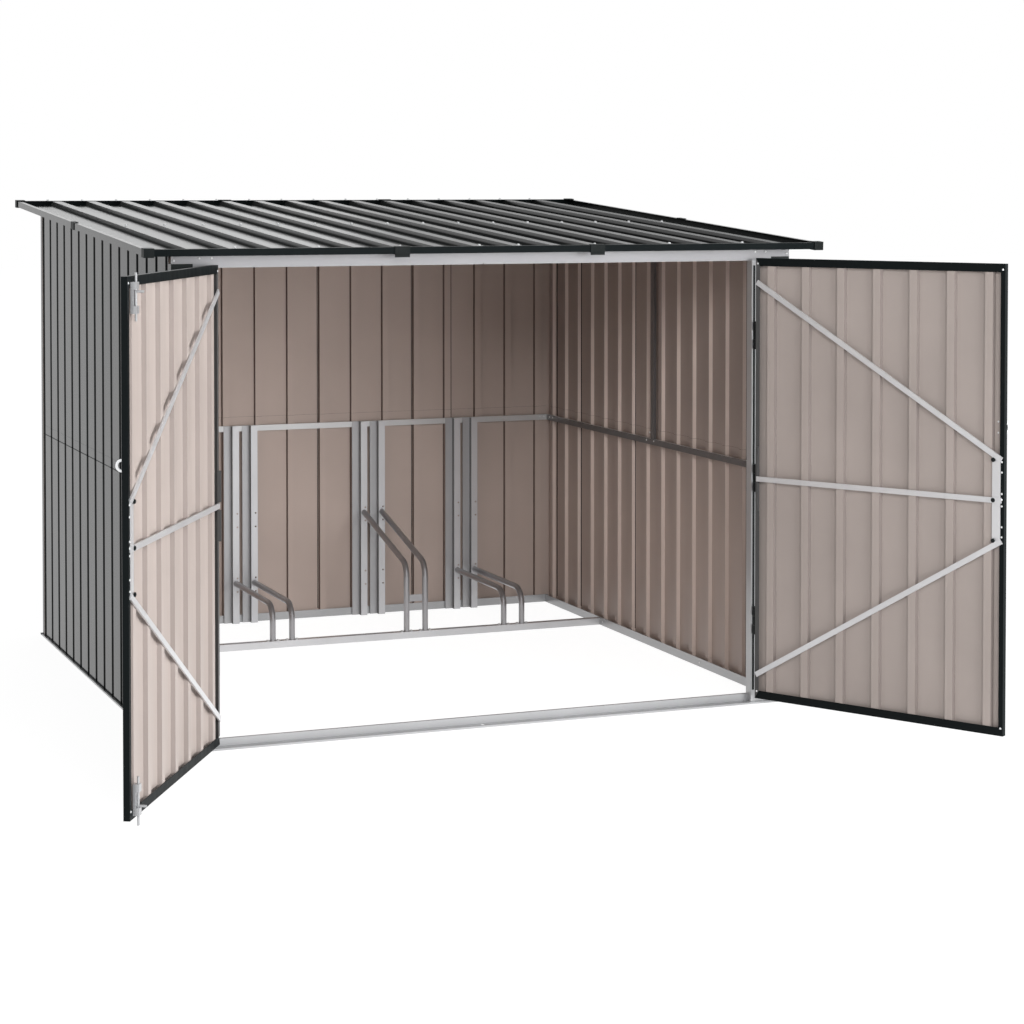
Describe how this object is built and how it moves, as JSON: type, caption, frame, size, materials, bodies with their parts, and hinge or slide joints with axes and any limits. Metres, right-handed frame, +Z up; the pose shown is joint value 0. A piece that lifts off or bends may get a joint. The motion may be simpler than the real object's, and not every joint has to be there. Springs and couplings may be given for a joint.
{
  "type": "bike shelter",
  "caption": "Steel bike shelter with ribbed walls, a mono-pitch ribbed roof, outward double doors with barrel bolts, and a rack that holds bicycle wheels.",
  "frame": {"origin": "on the ground at the middle of the base frame, which is the middle of the anchor holes", "axes": "+Z up, -Y is the front with the doors, +X is to the right when facing the doors from outside"},
  "size_m": [2.7696, 2.9054, 1.6559],
  "materials": {
    "wall_sheet": "satin anthracite outside, beige-grey primer inside",
    "roof_sheet": "satin anthracite outside, beige-grey primer inside",
    "door_sheet": "beige-grey primer inside, satin anthracite outside",
    "anthracite_trim": "satin anthracite",
    "galvanised": "galvanised",
    "black_plastic": "matte",
    "black_steel": "satin black"
  },
  "bodies": {
    "shed": {"front_sill": "galvanised", "side_base_rails": "galvanised", "back_base_rail": "galvanised", "rack_floor_rail": "galvanised", "left_wall_lower": "wall_sheet", "left_wall_upper": "wall_sheet", "right_wall_lower": "wall_sheet", "right_wall_upper": "wall_sheet", "back_wall_lower": "wall_sheet", "back_wall_upper": "wall_sheet", "wall_mid_rails": "galvanised", "jamb_posts": "galvanised", "front_corner_panels": "anthracite_trim", "back_corner_posts": "anthracite_trim", "front_header": "galvanised", "back_top_rail": "galvanised", "side_top_rails": "galvanised", "roof_purlin": "galvanised", "wall_studs": "galvanised", "roof_panel_left": "roof_sheet", "roof_panel_middle": "roof_sheet", "roof_panel_right": "roof_sheet", "roof_front_trim": "anthracite_trim", "roof_back_trim": "anthracite_trim", "roof_side_trims": "anthracite_trim", "roof_corner_caps": "black_plastic", "roof_trim_clips": "black_plastic", "rack_uprights": "galvanised", "low_wheel_holders": "galvanised", "high_wheel_holders": "galvanised", "jamb_hinges": "black_steel"},
    "left_leaf": {"left_door_sheet": "door_sheet", "left_door_frame": "anthracite_trim", "left_door_bracing": "galvanised", "left_door_hinge_leaves": "black_steel", "left_door_lug": "galvanised", "left_door_bolt_guides": "galvanised"},
    "right_leaf": {"right_door_sheet": "door_sheet", "right_door_frame": "anthracite_trim", "right_door_bracing": "galvanised", "right_door_hinge_leaves": "black_steel", "right_door_lug": "galvanised"},
    "upper_bolt": {"top_bolt": "galvanised"},
    "lower_bolt": {"bottom_bolt": "galvanised"}
  },
  "joints": [
    {"name": "left_door_hinge", "type": "hinge", "parent": "shed", "child": "left_leaf", "pos_m": [-0.911, -1.06, 0], "axis": [0, 0, 1], "range_deg": [-45, 120]},
    {"name": "right_door_hinge", "type": "hinge", "parent": "shed", "child": "right_leaf", "pos_m": [0.911, -1.06, 0], "axis": [0, 0, -1], "range_deg": [-45, 120]},
    {"name": "upper_bolt_slide", "type": "slide", "parent": "left_leaf", "child": "upper_bolt", "axis": [0, 0, -1], "range_m": [0, 0.03]},
    {"name": "lower_bolt_slide", "type": "slide", "parent": "left_leaf", "child": "lower_bolt", "axis": [0, 0, 1], "range_m": [0, 0.03]}
  ]
}
